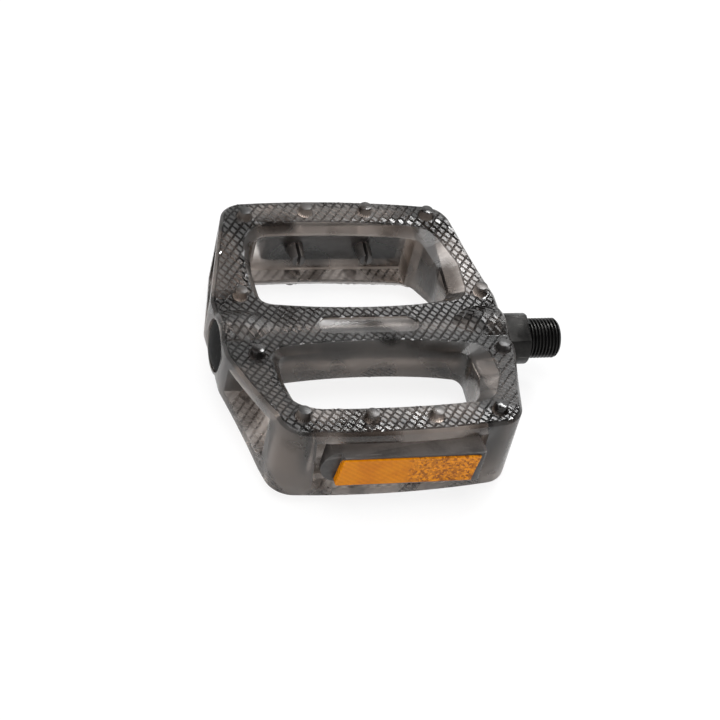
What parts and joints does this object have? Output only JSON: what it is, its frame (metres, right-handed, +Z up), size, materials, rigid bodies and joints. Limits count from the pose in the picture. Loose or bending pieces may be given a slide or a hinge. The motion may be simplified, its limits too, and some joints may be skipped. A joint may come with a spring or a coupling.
{
  "type": "flat pedal",
  "caption": "Dished translucent resin platform pedal with moulded grip pins, snap-in amber reflectors and a ball-bearing steel spindle threaded for a crank.",
  "frame": {"origin": "centre of the spindle's shoulder that seats on the crank, on the spindle's axis", "axes": "+X along the spindle into the crank, +Y towards the rear of the platform, +Z up through the upper tread face"},
  "size_m": [0.1267, 0.1232, 0.0364],
  "materials": {
    "smoke_resin": "translucent smoke grey, knurled faces",
    "bearing_steel": "ground and greased",
    "blackened_steel": "black, satin",
    "black_rubber": "matte",
    "grey_plastic": "matte dark grey",
    "black_plastic": "satin black",
    "amber_lens": "transparent amber with prisms behind a clear face"
  },
  "bodies": {
    "spindle_set": {"spindle": "blackened_steel", "adjusting_cone": "bearing_steel", "keyed_washer": "bearing_steel", "locknut": "bearing_steel"},
    "platform": {"pedal_body": "smoke_resin", "outboard_cup": "bearing_steel", "inboard_cup": "bearing_steel", "spindle_seal": "black_rubber", "dust_cap": "grey_plastic", "front_reflector_housing": "black_plastic", "front_reflector_lens": "amber_lens", "rear_reflector_housing": "black_plastic", "rear_reflector_lens": "amber_lens"},
    "inboard_ball_ring": {"inboard_balls": "bearing_steel"},
    "outboard_ball_ring": {"outboard_balls": "bearing_steel"}
  },
  "joints": [
    {"name": "pedal_spin", "type": "hinge", "parent": "spindle_set", "child": "platform", "pos_m": [-0.061, 0, 0], "axis": [1, 0, 0], "continuous": true},
    {"name": "inboard_ball_roll", "type": "hinge", "parent": "spindle_set", "child": "inboard_ball_ring", "pos_m": [-0.0137, 0, 0], "axis": [1, 0, 0], "continuous": true},
    {"name": "outboard_ball_roll", "type": "hinge", "parent": "spindle_set", "child": "outboard_ball_ring", "pos_m": [-0.1054, 0, 0], "axis": [1, 0, 0], "continuous": true}
  ],
  "couplings": [
    {"joint": "inboard_ball_roll", "follows": "pedal_spin", "ratio": 0.585},
    {"joint": "outboard_ball_roll", "follows": "pedal_spin", "ratio": 0.585}
  ]
}
